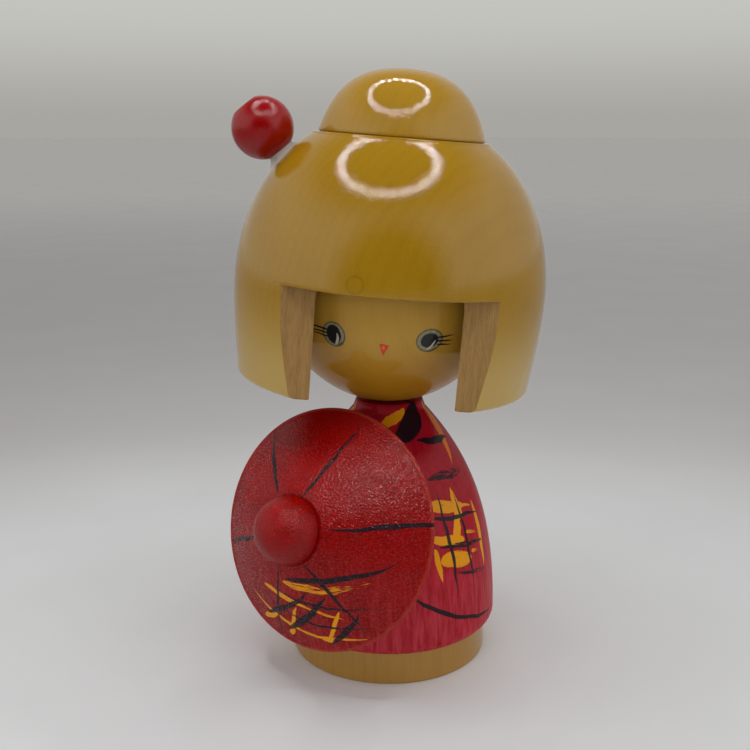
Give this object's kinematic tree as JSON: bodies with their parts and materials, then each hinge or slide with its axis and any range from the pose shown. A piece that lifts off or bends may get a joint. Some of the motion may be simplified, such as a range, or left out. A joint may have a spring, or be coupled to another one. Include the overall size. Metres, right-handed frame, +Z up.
{
  "type": "kokeshi doll",
  "caption": "Turned wooden doll on a round foot: red body, ball head under a cut-away hair cap with bun and bead hairpin, and a cone-shaped parasol on a stick.",
  "frame": {"origin": "centre of the foot's flat underside", "axes": "+Z up along the body's turning axis, -Y the way the doll looks, +X its left-hand side"},
  "size_m": [0.085, 0.0909, 0.1601],
  "materials": {
    "body_lacquer": "red lacquer over turned wood with brush-painted kimono, satin gloss",
    "foot_wood": "bare turned wood under clear varnish",
    "face_wood": "pale turned wood under clear satin varnish, painted eyes and mouth",
    "hair_wood": "pale turned wood under thick high-gloss clear lacquer; saw-cut faces bare",
    "bead_lacquer": "gloss red lacquer",
    "parasol_lacquer": "satin red lacquer with thin black ribs and painted strokes",
    "knob_lacquer": "satin red lacquer",
    "plain_wood": "unfinished birch dowel",
    "clear_glue": "clear hard glue, wet gloss"
  },
  "bodies": {
    "body": {"foot": "foot_wood", "body": "body_lacquer", "neck_dowel": "plain_wood"},
    "head": {"face_ball": "face_wood", "hair_cap": "hair_wood", "hair_bun": "hair_wood", "crown_dowel": "plain_wood", "hairpin_bead": "bead_lacquer", "hairpin_stick": "plain_wood", "hairpin_glue": "clear_glue"},
    "parasol_stick": {"parasol_stick": "plain_wood"},
    "parasol_top": {"parasol_canopy": "parasol_lacquer", "parasol_knob": "knob_lacquer"}
  },
  "joints": [
    {"name": "head_turn", "type": "hinge", "parent": "body", "child": "head", "pos_m": [0, 0, 0.0725], "axis": [0, 0, 1], "continuous": true},
    {"name": "parasol_pull", "type": "slide", "parent": "body", "child": "parasol_stick", "axis": [-0.4966, -0.8167, 0.294], "range_m": [0, 0.01]},
    {"name": "parasol_spin", "type": "hinge", "parent": "parasol_stick", "child": "parasol_top", "pos_m": [-0.01569, -0.02581, 0.04387], "axis": [-0.4966, -0.8167, 0.294], "continuous": true}
  ]
}
